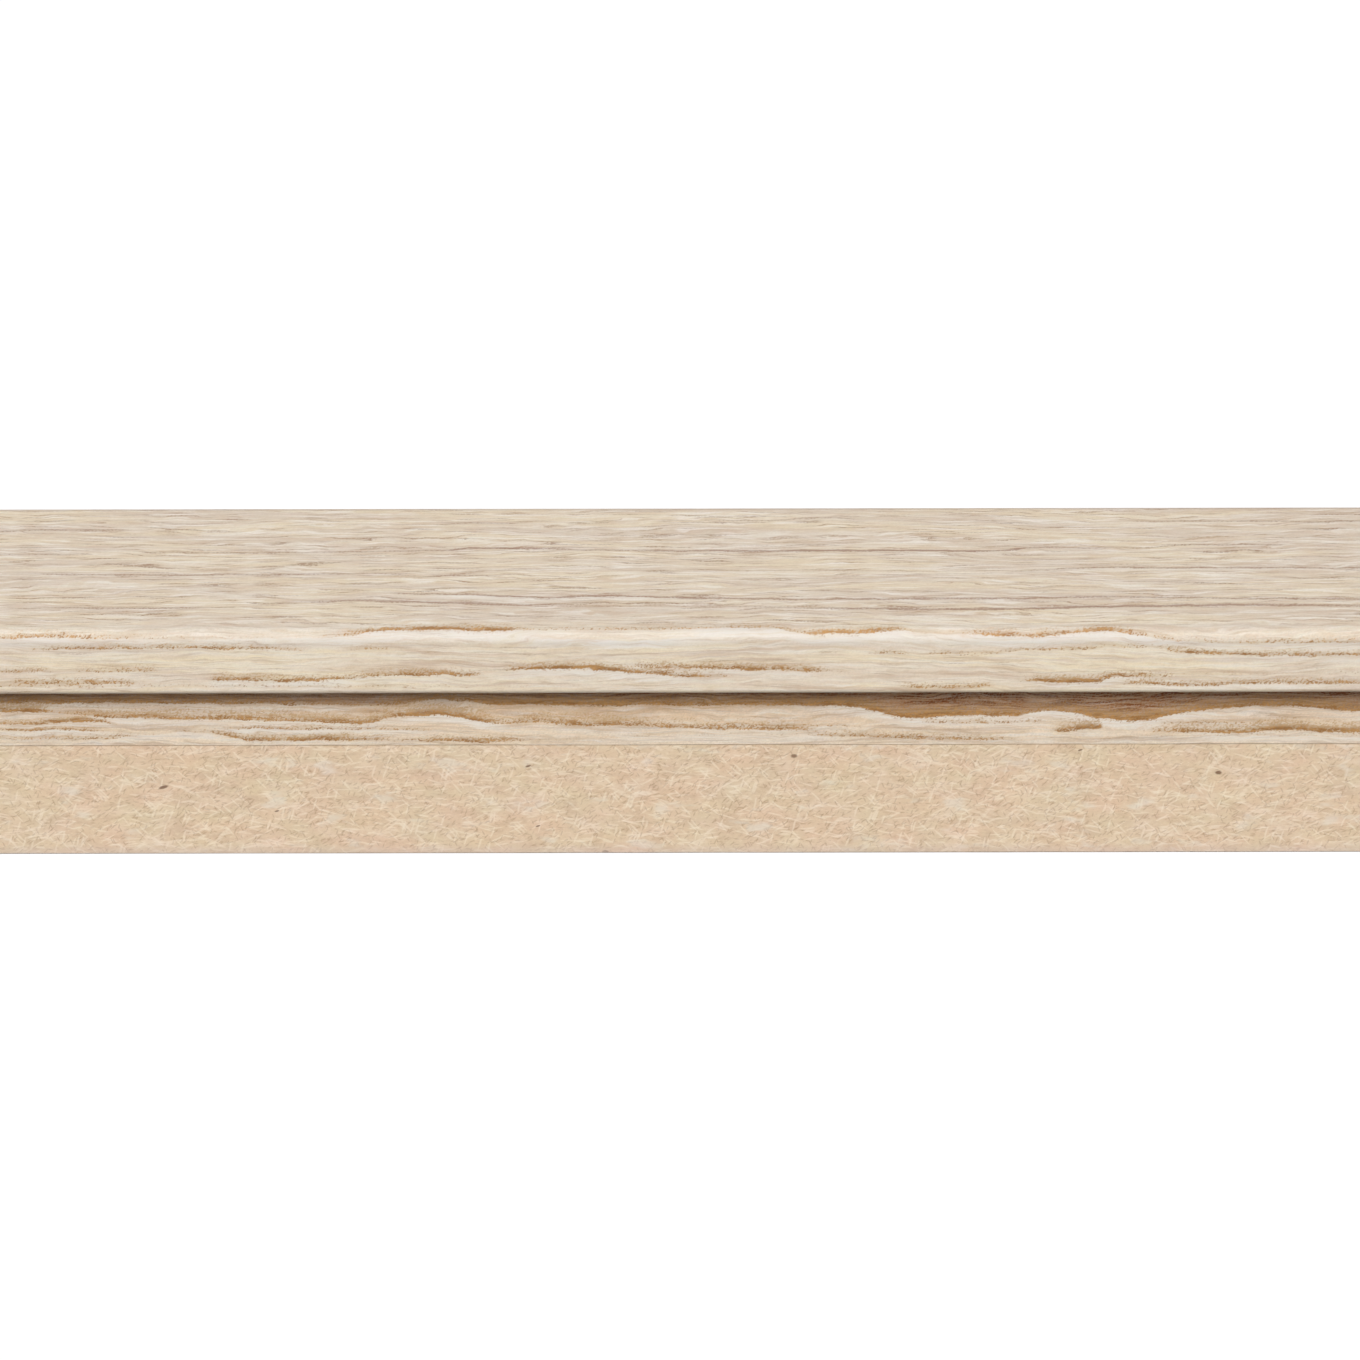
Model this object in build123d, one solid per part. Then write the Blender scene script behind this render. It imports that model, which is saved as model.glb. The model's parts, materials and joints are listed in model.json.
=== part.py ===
from build123d import *
import os

# Wall panel end trim: a milled fibreboard moulding wrapped in a wood-grain decor foil.
# It closes the end of a run of wall panels. X runs along the length, the joint side faces -Y,
# the show face is up, and the bare back lies on z = 0 with the origin at its middle.

# Driving sizes in millimetres, measured over the finished moulding

LENGTH = 2400.0
SHOW_FACE_WIDTH = 23.0
PANEL_THICKNESS = 18.0  # board that slides in under the nosing, and so the height of the rebate
NOSING_THICKNESS = 6.2
NOSING_OVERHANG = 3.0  # how far the nosing laps over the panel's face

FOIL_THICKNESS = 0.3
FOIL_TURN_IN = 6.8  # down the rebate wall, from the nosing's underside to the cut edge

FRONT_ARRIS_RADIUS = 1.1  # show face to nosing side
OUTER_ARRIS_RADIUS = 1.1  # show face to outer side
NOSING_LOWER_RADIUS = 0.6  # nosing side to nosing underside
REBATE_CORNER_RADIUS = 0.5  # nosing underside to rebate wall, inside corner
BACK_ARRIS_EASE = 0.4  # sanded chamfer along both back edges of the bare board

# Places of the finished faces

OUTER_SIDE_Y = SHOW_FACE_WIDTH / 2
NOSING_SIDE_Y = -SHOW_FACE_WIDTH / 2
REBATE_WALL_Y = NOSING_SIDE_Y + NOSING_OVERHANG
NOSING_UNDERSIDE_Z = PANEL_THICKNESS
SHOW_FACE_Z = PANEL_THICKNESS + NOSING_THICKNESS
FOIL_EDGE_Z = NOSING_UNDERSIDE_Z - FOIL_TURN_IN


def wrapped_line(depth):
    """The line round the wrapped faces, a given depth under the finished surface.

    It starts at the back of the outer side, crosses the show face, rounds the nosing, follows
    its underside and turns down the rebate wall. Outside corners lose the depth from their
    radius, and the inside corner gains it, so two such lines stay the same distance apart.
    """
    corners = [
        (OUTER_SIDE_Y - depth, BACK_ARRIS_EASE),
        (OUTER_SIDE_Y - depth, SHOW_FACE_Z - depth),
        (NOSING_SIDE_Y + depth, SHOW_FACE_Z - depth),
        (NOSING_SIDE_Y + depth, NOSING_UNDERSIDE_Z + depth),
        (REBATE_WALL_Y + depth, NOSING_UNDERSIDE_Z + depth),
        (REBATE_WALL_Y + depth, FOIL_EDGE_Z),
    ]
    radii = [
        OUTER_ARRIS_RADIUS - depth,
        FRONT_ARRIS_RADIUS - depth,
        NOSING_LOWER_RADIUS - depth,
        REBATE_CORNER_RADIUS + depth,
    ]
    return FilletPolyline(corners, radius=radii)


def along_length(section):
    """Extrude a section drawn as (y, z) over the whole length, centred on the origin."""
    start = Plane.YZ.offset(-LENGTH / 2)
    return extrude(start * section, amount=LENGTH, dir=(1, 0, 0))


def board_section():
    """The milled fibreboard: the line under the foil, then the bare rebate wall and back."""
    wrapped = wrapped_line(FOIL_THICKNESS)
    wall_y = REBATE_WALL_Y + FOIL_THICKNESS
    outer_y = OUTER_SIDE_Y - FOIL_THICKNESS
    bare = Polyline(
        wrapped @ 1,
        (wall_y, BACK_ARRIS_EASE),
        (wall_y + BACK_ARRIS_EASE, 0),
        (outer_y - BACK_ARRIS_EASE, 0),
        wrapped @ 0,
    )
    return make_face([wrapped, bare])


def foil_section():
    """The foil: two parallel lines closed by its cut edges."""
    outside = wrapped_line(0)
    inside = wrapped_line(FOIL_THICKNESS)
    back_edge = Line(inside @ 0, outside @ 0)
    rebate_edge = Line(outside @ 1, inside @ 1)
    return make_face([outside, rebate_edge, inside, back_edge])


NODES = {
    "mdf_core": along_length(board_section()),
    "decor_foil": along_length(foil_section()),
}

os.makedirs("parts", exist_ok=True)
for name, solid in NODES.items():
    solid.label = name
    export_step(solid, f"parts/{name}.step")
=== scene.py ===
import json
import math

import bmesh
import bpy
from mathutils import Euler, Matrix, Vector, noise


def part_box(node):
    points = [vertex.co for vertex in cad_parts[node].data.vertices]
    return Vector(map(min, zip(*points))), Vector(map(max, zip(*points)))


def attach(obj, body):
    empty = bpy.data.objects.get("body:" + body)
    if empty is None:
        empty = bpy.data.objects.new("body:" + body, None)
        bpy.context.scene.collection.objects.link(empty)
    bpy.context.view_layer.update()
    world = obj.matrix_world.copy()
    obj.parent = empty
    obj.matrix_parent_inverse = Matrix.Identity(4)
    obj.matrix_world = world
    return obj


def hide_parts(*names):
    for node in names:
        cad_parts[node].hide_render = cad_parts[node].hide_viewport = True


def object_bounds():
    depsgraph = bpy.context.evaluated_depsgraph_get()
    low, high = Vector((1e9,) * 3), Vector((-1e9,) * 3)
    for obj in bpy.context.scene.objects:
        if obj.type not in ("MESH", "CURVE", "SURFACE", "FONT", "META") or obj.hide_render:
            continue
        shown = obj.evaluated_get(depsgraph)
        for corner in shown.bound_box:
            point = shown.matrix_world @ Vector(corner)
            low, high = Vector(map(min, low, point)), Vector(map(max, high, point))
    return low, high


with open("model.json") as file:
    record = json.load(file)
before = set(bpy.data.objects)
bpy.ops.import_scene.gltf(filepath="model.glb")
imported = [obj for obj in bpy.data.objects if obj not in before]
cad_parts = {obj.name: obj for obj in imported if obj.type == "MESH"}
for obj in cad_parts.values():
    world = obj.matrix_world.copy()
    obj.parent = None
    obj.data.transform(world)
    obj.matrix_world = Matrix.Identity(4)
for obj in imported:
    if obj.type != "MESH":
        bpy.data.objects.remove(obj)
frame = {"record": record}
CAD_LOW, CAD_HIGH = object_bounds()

# A length of wall panel end trim, lying on its back: bare fibreboard wrapped in an oak decor foil.
# X runs along the length, the joint side faces -Y and the show face is up.

MM = 0.001

# Section, read from the frame where the frame gives it

FOIL_LOW, FOIL_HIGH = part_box("decor_foil")
BOARD_LOW, BOARD_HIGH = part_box("mdf_core")
MOUNTS = {mount["name"]: mount["pos_m"] for mount in frame["record"]["mounts"]}

START_X = CAD_LOW.x
LENGTH = CAD_HIGH.x - CAD_LOW.x
OUTER_SIDE_Y = FOIL_HIGH.y
NOSING_SIDE_Y = FOIL_LOW.y
SHOW_FACE_Z = FOIL_HIGH.z
FOIL_THICKNESS = FOIL_HIGH.z - BOARD_HIGH.z
NOSING_UNDERSIDE_Z = MOUNTS["nosing_underside"][2]
BARE_WALL_Y = MOUNTS["rebate_wall"][1]
REBATE_WALL_Y = BARE_WALL_Y - FOIL_THICKNESS
BACK_ARRIS_EASE = FOIL_LOW.z
SHARP_ARRIS_EASE = 0.15 * MM  # the photo shows the wall's back arris almost sharp

FOIL_TURN_IN = 6.8 * MM
FRONT_ARRIS_RADIUS = 1.1 * MM
OUTER_ARRIS_RADIUS = 1.1 * MM
NOSING_LOWER_RADIUS = 0.6 * MM
REBATE_CORNER_RADIUS = 0.5 * MM
FOIL_EDGE_Z = NOSING_UNDERSIDE_Z - FOIL_TURN_IN

# The wrapping roller pressed the foil down towards its cut edge, and the knife wandered a little

EDGE_FEATHER = 2.5 * MM
EDGE_STEP = 0.1 * MM
EDGE_WANDER = 0.05 * MM
EDGE_WANDER_PITCH = 14.0 * MM
EASE_WANDER = 0.06 * MM
EASE_WANDER_PITCH = 5.0 * MM
EASE_NOISE_STEP = 10.0  # keeps the noise of one edge of the section apart from the next

# Mesh density, and shares of the bake map

ARC_STEPS = 12
STATION_SPACING = 4.0 * MM
FOIL_MAP_ROWS = 3
BOARD_MAP_ROWS = 8
MAP_GAP = 0.004
HIDDEN_SHARE = 0.06
CUT_EDGE_SHARE = 0.012
EASE_SHARE = 0.03
BACK_SHARE = 0.52
WALL_SHARE = 0.36
FOIL_END_BAND = 0.03  # height of the map's band for both ends
BOARD_END_BAND = 0.09
END_REACH = 0.99  # how much of the map's width an end of the foil takes up

# Camera: a long lens on the joint side, looking down at it, with about 120 mm of the length in view

PHOTO_PIXELS = 1360
CAMERA_ELEVATION = 30.0
CAMERA_ROLL = 0.09
CAMERA_LENS = 200.0
SENSOR_WIDTH = 36.0
VIEW_WIDTH = 117.1 * MM
VIEW_CENTRE_Z = 19.52 * MM
CAMERA_DISTANCE = VIEW_WIDTH * CAMERA_LENS / SENSOR_WIDTH
FOCAL_PIXELS = PHOTO_PIXELS * CAMERA_LENS / SENSOR_WIDTH
CLIP_START = 0.01
CLIP_END = 200.0

# Light: a broad lamp high in front, weaker ones low in front, behind and beside, and an even sky.
# Each lamp has its elevation, azimuth and half its spread in degrees, and its strength.

LAMPS = {
    "key": (42.5, -12.0, 11.0, 3.0),
    "front_fill": (14.0, 24.0, 30.0, 0.3),
    "back_fill": (15.0, 205.0, 30.0, 0.75),
    "side_fill": (8.0, 95.0, 20.0, 0.7),
}
LAMP_DISTANCE = 2.0
SKY_GREY = 0.8
SKY_STRENGTH = 0.3
FLOOR_GREY = 0.15
FLOOR_WHITE = 0.9
FLOOR_REACH = 60.0


def rgb(*parts):
    """A display colour, its parts from 11 to 255, as the linear colour that shaders use."""
    return (*(((part / 255 + 0.055) / 1.055) ** 2.4 for part in parts), 1.0)


def new_object(name, data):
    made = bpy.data.objects.new(name, data)
    bpy.context.scene.collection.objects.link(made)
    return made


# Section outlines: each point is its (y, z) place and the direction that the surface faces there


def arc(centre, radius, start, end, hollow=False):
    """Points on an arc from one angle to another, in degrees, about a (y, z) centre."""
    points = []
    for step in range(ARC_STEPS + 1):
        angle = math.radians(start + (end - start) * step / ARC_STEPS)
        facing = Vector((math.cos(angle), math.sin(angle)))
        place = Vector(centre) + radius * facing
        points.append((place, -facing if hollow else facing))
    return points


def wrapped_outline(depth, edge_depth):
    """The line round the wrapped faces, a given depth under the finished surface.

    It runs from the foil's cut edge up the rebate wall, under and round the nosing, across the
    show face and down the outer side. Near the cut edge the depth changes to edge_depth.
    """
    corner = REBATE_CORNER_RADIUS
    lower = NOSING_LOWER_RADIUS
    front = FRONT_ARRIS_RADIUS
    outer = OUTER_ARRIS_RADIUS
    corner_centre = (REBATE_WALL_Y - corner, NOSING_UNDERSIDE_Z - corner)
    lower_centre = (NOSING_SIDE_Y + lower, NOSING_UNDERSIDE_Z + lower)
    front_centre = (NOSING_SIDE_Y + front, SHOW_FACE_Z - front)
    outer_centre = (OUTER_SIDE_Y - outer, SHOW_FACE_Z - outer)
    edge_facing = Vector((-EDGE_FEATHER, depth - edge_depth)).normalized()
    return [
        (Vector((REBATE_WALL_Y + edge_depth, FOIL_EDGE_Z)), edge_facing),
        (Vector((REBATE_WALL_Y + depth, FOIL_EDGE_Z + EDGE_FEATHER)), Vector((-1, 0))),
        *arc(corner_centre, corner + depth, 0, 90, hollow=True),
        *arc(lower_centre, lower - depth, 270, 180),
        *arc(front_centre, front - depth, 180, 90),
        *arc(outer_centre, outer - depth, 90, 0),
        (Vector((OUTER_SIDE_Y - depth, BACK_ARRIS_EASE)), Vector((1, 0))),
    ]


def straight(first, second):
    """A flat face between two (y, z) points, facing away from the solid."""
    along = Vector(second) - Vector(first)
    facing = Vector((-along.y, along.x)).normalized()
    return [(Vector(first), facing), (Vector(second), facing)]


def distances(points):
    """How far along the outline each point lies from the first, in millimetres."""
    total = [0.0]
    for (first, _), (second, _) in zip(points, points[1:]):
        total.append(total[-1] + (second - first).length / MM)
    return total


class Strip:
    """One stretch of the section drawn along the length, with its share of a map row."""

    def __init__(self, points, share, material=0):
        self.points = points
        self.share = share
        self.material = material
        self.along = distances(points)


class Loft:
    """A closed prism from strips that follow each other round the section.

    Its map named OFBake folds the length into rows, where each strip has its own share, with the
    two ends in a band above them. Its map named sheet holds the real place on the surface, in
    millimetres along the length and round the section.
    """

    def __init__(self, strips, rows, end_band):
        self.strips = strips
        self.outline = [place for strip in strips for place, _ in strip.points[:-1]]
        self.rows = rows
        self.end_band = end_band
        self.per_row = math.ceil(LENGTH / rows / STATION_SPACING)
        count = self.per_row * rows
        self.places = [START_X + LENGTH * step / count for step in range(count + 1)]
        self.shape = bmesh.new()
        self.bake = self.shape.loops.layers.uv.new("OFBake")
        self.sheet = self.shape.loops.layers.uv.new("sheet")
        self.facing = self.shape.loops.layers.float_vector.new("facing")

    def stations(self, wander):
        """The points of the section at each station, moved a little by wander(x, index, place)."""
        self.sections = []
        for x in self.places:
            section = []
            for index, place in enumerate(self.outline):
                moved = wander(x, index, place)
                section.append(self.shape.verts.new((x, moved.x, moved.y)))
            self.sections.append(section)

    def sides(self):
        row_height = (1.0 - self.end_band) / self.rows
        usable = row_height - MAP_GAP * (len(self.strips) + 1)
        shares = sum(strip.share for strip in self.strips)
        offset = 0
        travelled = 0.0
        base = MAP_GAP
        for strip in self.strips:
            height = usable * strip.share / shares
            for index in range(len(strip.points) - 1):
                for station in range(len(self.places) - 1):
                    self.side_face(strip, offset, index, station, (base, height, row_height), travelled)
            offset += len(strip.points) - 1
            travelled += strip.along[-1]
            base += height + MAP_GAP

    def side_face(self, strip, offset, index, station, row_place, travelled):
        base, height, row_height = row_place
        row = station // self.per_row
        corners = [(station, 0), (station + 1, 0), (station + 1, 1), (station, 1)]
        around = [(offset + index + up) % len(self.outline) for up in (0, 1)]
        face = self.shape.faces.new([self.sections[at][around[up]] for at, up in corners])
        face.material_index = strip.material
        face.smooth = True
        for loop, (at, up) in zip(face.loops, corners):
            share_along = (at - row * self.per_row) / self.per_row
            share_up = strip.along[index + up] / strip.along[-1]
            loop[self.bake].uv = (
                MAP_GAP + (1.0 - 2 * MAP_GAP) * share_along,
                row * row_height + base + height * share_up,
            )
            loop[self.sheet].uv = (self.places[at] / MM, travelled + strip.along[index + up])
            facing = strip.points[index + up][1]
            loop[self.facing] = (0.0, facing.x, facing.y)

    def end_face(self, verts, outward, uvs, places, material):
        face = self.shape.faces.new(verts)
        face.material_index = material
        face.smooth = True
        for loop, uv, place in zip(face.loops, uvs, places):
            loop[self.bake].uv = uv
            loop[self.sheet].uv = place
            loop[self.facing] = (outward, 0.0, 0.0)

    def finish(self, name):
        mesh = bpy.data.meshes.new(name)
        self.shape.to_mesh(mesh)
        self.shape.free()
        facing = mesh.attributes["facing"]
        normals = [Vector(corner.vector) for corner in facing.data]
        mesh.attributes.remove(facing)
        mesh.normals_split_custom_set(normals)
        return new_object(name, mesh)


# The two pieces


def foil_wrap():
    """The decor foil: one sheet of even thickness, pressed thin towards its cut edge."""
    outside = wrapped_outline(0.0, FOIL_THICKNESS - EDGE_STEP)
    inside = wrapped_outline(FOIL_THICKNESS, FOIL_THICKNESS)
    back_edge = straight(outside[-1][0], inside[-1][0])
    cut_edge = straight(inside[0][0], outside[0][0])
    inner = [(place, -facing) for place, facing in reversed(inside)]
    strips = [
        Strip(outside, 1.0),
        Strip(back_edge, CUT_EDGE_SHARE, material=1),
        Strip(inner, HIDDEN_SHARE, material=1),
        Strip(cut_edge, CUT_EDGE_SHARE, material=1),
    ]
    band = FOIL_END_BAND
    loft = Loft(strips, FOIL_MAP_ROWS, band)
    count = len(outside)
    edge_points = (0, len(loft.outline) - 1)

    def wander(x, index, place):
        if index not in edge_points:
            return place
        along = Vector((x / EDGE_WANDER_PITCH, 0.0, 0.0))
        return place + Vector((0.0, EDGE_WANDER * noise.noise(along)))

    loft.stations(wander)
    loft.sides()
    total = len(loft.outline)
    along = strips[0].along
    for side, (station, outward) in enumerate(((0, -1.0), (-1, 1.0))):
        section = loft.sections[station]
        low = 1.0 - band + MAP_GAP + side * band / 2
        high = low + band / 2 - MAP_GAP
        for index in range(count - 1):
            corners = [
                (index, index, low),
                (index + 1, index + 1, low),
                (total - 2 - index, index + 1, high),
                (total - 1 - index, index, high),
            ]
            if outward > 0:
                corners.reverse()
            verts = [section[at] for at, _, _ in corners]
            uvs = [(MAP_GAP + END_REACH * along[step] / along[-1], up) for _, step, up in corners]
            places = [loft.outline[at] / MM for at, _, _ in corners]
            loft.end_face(verts, outward, uvs, places, 1)
    return loft.finish("foil_wrap")


def fibreboard_core():
    """The milled board: hidden under the foil, bare on the lower rebate wall and the back."""
    wrapped = wrapped_outline(FOIL_THICKNESS, FOIL_THICKNESS)
    outer_y = OUTER_SIDE_Y - FOIL_THICKNESS
    ease = BACK_ARRIS_EASE
    corners = [
        (outer_y, ease),
        (outer_y - ease, 0.0),
        (BARE_WALL_Y + SHARP_ARRIS_EASE, 0.0),
        (BARE_WALL_Y, SHARP_ARRIS_EASE),
        (BARE_WALL_Y, FOIL_EDGE_Z),
    ]
    outer_ease, back, wall_ease, wall = [straight(a, b) for a, b in zip(corners, corners[1:])]
    strips = [
        Strip(wrapped, HIDDEN_SHARE),
        Strip(outer_ease, EASE_SHARE),
        Strip(back, BACK_SHARE),
        Strip(wall_ease, EASE_SHARE),
        Strip(wall, WALL_SHARE),
    ]
    band = BOARD_END_BAND
    loft = Loft(strips, BOARD_MAP_ROWS, band)
    first_ease = len(wrapped) - 1

    def wander(x, index, place):
        if index <= first_ease:
            return place
        along = Vector((x / EASE_WANDER_PITCH, EASE_NOISE_STEP * index, 0.0))
        inwards = Vector((math.copysign(EASE_WANDER, -place.x), 0.0))
        return place + inwards * (0.5 + 0.5 * noise.noise(along))

    loft.stations(wander)
    loft.sides()
    size = band - 2 * MAP_GAP
    span = max(BOARD_HIGH.y - BOARD_LOW.y, BOARD_HIGH.z - BOARD_LOW.z)
    for side, (station, outward) in enumerate(((0, -1.0), (-1, 1.0))):
        section = loft.sections[station]
        order = list(range(len(loft.outline)))
        if outward > 0:
            order.reverse()
        corner = Vector((MAP_GAP + side * 0.5, 1.0 - band + MAP_GAP))
        start = Vector((BOARD_LOW.y, 0.0))
        uvs = [corner + size * (loft.outline[at] - start) / span for at in order]
        places = [loft.outline[at] / MM for at in order]
        loft.end_face([section[at] for at in order], outward, uvs, places, 1)
    return loft.finish("fibreboard_core")


# Materials: short calls that add a node and give back its output


class Graph:
    """The node tree of a material or of the world, with the colour painted in it so far."""

    def __init__(self, owner):
        owner.use_nodes = True
        self.owner = owner
        self.tree = owner.node_tree
        self.tree.nodes.clear()
        self.colour = None

    def feed(self, socket, value):
        if isinstance(value, bpy.types.NodeSocket):
            self.tree.links.new(value, socket)
        else:
            socket.default_value = value

    def fill(self, node, **values):
        """Set or link the inputs that are named, with _ for a space in a name."""
        for name, value in values.items():
            self.feed(node.inputs[name.replace("_", " ")], value)
        return node

    def node(self, kind, *values, **settings):
        node = self.tree.nodes.new("ShaderNode" + kind)
        for key, setting in settings.items():
            setattr(node, key, setting)
        for socket, value in zip(node.inputs, values):
            self.feed(socket, value)
        return node

    def sheet(self):
        """The real place on the surface, in millimetres along and around."""
        return self.node("UVMap", uv_map="sheet").outputs["UV"]

    def place(self, x, y, z=0.0):
        """Three values as one vector."""
        return self.node("CombineXYZ", x, y, z).outputs[0]

    def repeated(self, value):
        return self.place(value, value, value)

    def parts(self, value):
        return self.node("SeparateXYZ", value).outputs

    def math(self, operation, *values, clamp=False):
        return self.node("Math", *values, operation=operation, use_clamp=clamp).outputs[0]

    def product(self, *values):
        total = values[0]
        for value in values[1:]:
            total = self.math("MULTIPLY", total, value)
        return total

    def sum(self, value, times, base):
        """A value some number of times, added to a base."""
        return self.math("MULTIPLY_ADD", value, times, base)

    def vector(self, operation, *values):
        node = self.node("VectorMath", *values, operation=operation)
        return node.outputs["Value" if operation == "LENGTH" else "Vector"]

    def scaled(self, place, along, around, shift=(0.0, 0.0)):
        """The place in units of a pattern's pitch along and around, shifted to a spot of its own."""
        return self.vector("MULTIPLY_ADD", place, (1 / along, 1 / around, 1.0), (*shift, 0.0))

    def turned(self, place, angle, along, across, shift=(0.0, 0.0)):
        """The same, with the pattern's length turned by an angle in degrees."""
        node = self.node("Mapping", vector_type="TEXTURE")
        turn = (0.0, 0.0, math.radians(angle))
        self.fill(node, Vector=place, Location=(*shift, 0.0), Rotation=turn, Scale=(along, across, 1.0))
        return node.outputs["Vector"]

    def noise(self, place, detail=2.0, roughness=0.5, output="Fac"):
        node = self.node("TexNoise", noise_dimensions="2D")
        self.fill(node, Vector=place, Scale=1.0, Detail=detail, Roughness=roughness)
        return node.outputs[output]

    def cells(self, place):
        """The distance to the middle of the cell that the place is in, and a number for the cell."""
        node = self.node("TexVoronoi", voronoi_dimensions="2D", feature="F1")
        self.fill(node, Vector=place, Scale=1.0)
        return node.outputs["Distance"], self.parts(node.outputs["Color"])[0]

    def span(self, value, low, high, out_low=0.0, out_high=1.0, steps="SMOOTHSTEP"):
        """The value's way from low to high, as a way from out_low to out_high."""
        ends = (value, low, high, out_low, out_high)
        return self.node("MapRange", *ends, interpolation_type=steps).outputs["Result"]

    def between(self, share, low, high):
        """A value that goes from low to high as the share goes from 0 to 1."""
        return self.span(share, 0.0, 1.0, low, high)

    def window(self, value, rise, full, ebb, gone):
        """1 from full to ebb, and 0 before rise and past gone."""
        return self.product(self.span(value, rise, full), self.span(value, gone, ebb))

    def blend(self, share, first, second, mode="MIX"):
        node = self.node("Mix", data_type="RGBA", blend_type=mode, clamp_factor=True)
        for index, value in ((0, share), (6, first), (7, second)):
            self.feed(node.inputs[index], value)
        return node.outputs[2]

    def paint(self, shade, *factors, mode="MIX"):
        """Lay a colour over what is painted so far, by the product of the factors."""
        self.colour = self.blend(self.product(*factors), self.colour, shade, mode)

    def ramp(self, value, stops):
        """A band of colours, each stop with its position, red, green and blue."""
        node = self.node("ValToRGB", value)
        elements = node.color_ramp.elements
        while len(elements) < len(stops):
            elements.new(1.0)
        for element, (position, *colour) in zip(elements, stops):
            element.position = position
            element.color = (*colour, 1.0)
        return node.outputs["Color"]

    def surface(self, height, depth, roughness, specular):
        """A surface in the painted colour, with a relief of a height pattern and its depth."""
        bump = self.fill(self.node("Bump"), Strength=1.0, Distance=depth, Height=height)
        shader = self.node("BsdfPrincipled", self.colour)
        normal = bump.outputs["Normal"]
        self.fill(shader, Roughness=roughness, Normal=normal, Specular_IOR_Level=specular)
        self.end(shader)
        return self.owner

    def end(self, shader, output="OutputMaterial"):
        self.fill(self.node(output), Surface=shader.outputs[0])

    def to_viewer(self):
        """1 for what the camera sees by itself, in a reflection or through glass, and 0 elsewhere."""
        path = self.node("LightPath").outputs
        seen = self.math("MAXIMUM", path["Is Camera Ray"], path["Is Glossy Ray"])
        return self.math("MAXIMUM", seen, path["Is Transmission Ray"])


# The print's main lines in the photographed stretch. Each is read from left to right, as
# (x, y, strength of the line, strength of the pale band under it), with x and y in photo pixels
# and the strengths in tenths.

FRONT_ARRIS_RING = [
    (0, 639, 4, 7), (40, 637, 6, 8), (77, 638, 4, 6), (150, 639, 2, 3.5), (300, 638, 1, 5),
    (340, 636.5, 3, 8), (383, 631, 7, 10), (448, 629.5, 9, 10), (492, 630.5, 10, 10), (515, 630, 4, 8),
    (560, 630, 2.5, 4), (600, 630, 3, 3), (690, 629, 3, 5), (740, 627.5, 4, 10), (785, 630, 3, 8),
    (810, 634, 6, 9), (850, 633.5, 8, 9), (897, 631, 5, 8), (930, 634, 1, 5), (971, 634, 4, 8),
    (1032, 637, 6, 10), (1067, 634, 6, 10), (1100, 631, 8, 10), (1132, 633.5, 5, 10), (1165, 640, 3, 8),
    (1200, 642, 2, 6), (1280, 643, 3.5, 6), (1360, 642, 3, 6),
]
ARRIS_RIBBON = [
    (440, 632, 0, 0), (490, 634, 0, 4), (540, 637, 0, 8), (600, 640, 0, 10), (640, 640.5, 0, 10),
    (680, 638, 0, 8), (730, 634, 0, 4), (780, 633, 0, 0),
]
NOSING_UPPER_RING = [
    (0, 651, 0, 0), (64, 649.5, 4, 2), (180, 648.5, 5, 3), (296, 650, 3.5, 2), (330, 651, 0, 0),
    (372, 649, 3, 0), (400, 650, 0, 0), (860, 654, 0, 0), (885, 653, 3.5, 0), (902, 654, 3, 0),
    (920, 654, 0, 0), (937, 654, 3, 0), (978, 655, 2, 0), (1020, 651, 3, 3), (1080, 649, 3, 3),
    (1138, 647, 2.5, 3), (1190, 653, 6, 3), (1270, 655, 6, 5), (1360, 655, 5, 5),
]
NOSING_MIDDLE_RING = [
    (0, 672, 4, 2), (43, 672, 3, 2), (70, 672, 0.5, 0), (94, 672, 4, 3), (148, 671, 4, 3),
    (165, 671, 0, 0), (205, 680, 0, 0), (217, 680, 6, 8), (340, 680, 6, 7), (362, 677, 5, 5),
    (430, 675, 7, 5), (475, 675, 6, 4), (487, 673, 0.5, 2), (520, 669.5, 7, 5), (580, 668.7, 9, 9),
    (610, 670, 9, 9), (645, 673.5, 8, 7), (680, 675.6, 7, 5), (720, 677, 3, 2), (760, 678, 0, 0),
]
NOSING_LATE_RING = [
    (0, 684, 0, 0), (31, 684, 5, 2), (117, 684, 5, 2), (150, 684, 0, 0), (620, 666, 0, 0),
    (633, 666.5, 3, 3), (680, 668, 6, 4), (740, 669.5, 7, 5), (808, 671, 6, 4), (840, 673, 1, 0),
    (990, 682, 0, 0), (1032, 681.3, 6, 3), (1058, 682.4, 10, 6), (1085, 682.4, 10, 7),
    (1099, 681, 9, 8), (1110, 677.4, 7, 8), (1132, 677, 6, 6), (1165, 676.5, 3, 3), (1200, 678, 0, 2),
]
NOSING_LOWEST_RING = [
    (890, 687, 0, 0), (910, 687, 4, 0), (984, 686.7, 4, 0), (1000, 686, 0, 0), (1110, 684.6, 0, 1),
    (1132, 683.5, 5, 5), (1190, 685.6, 6, 5), (1265, 683, 5, 4), (1360, 684, 6, 4),
]
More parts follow.
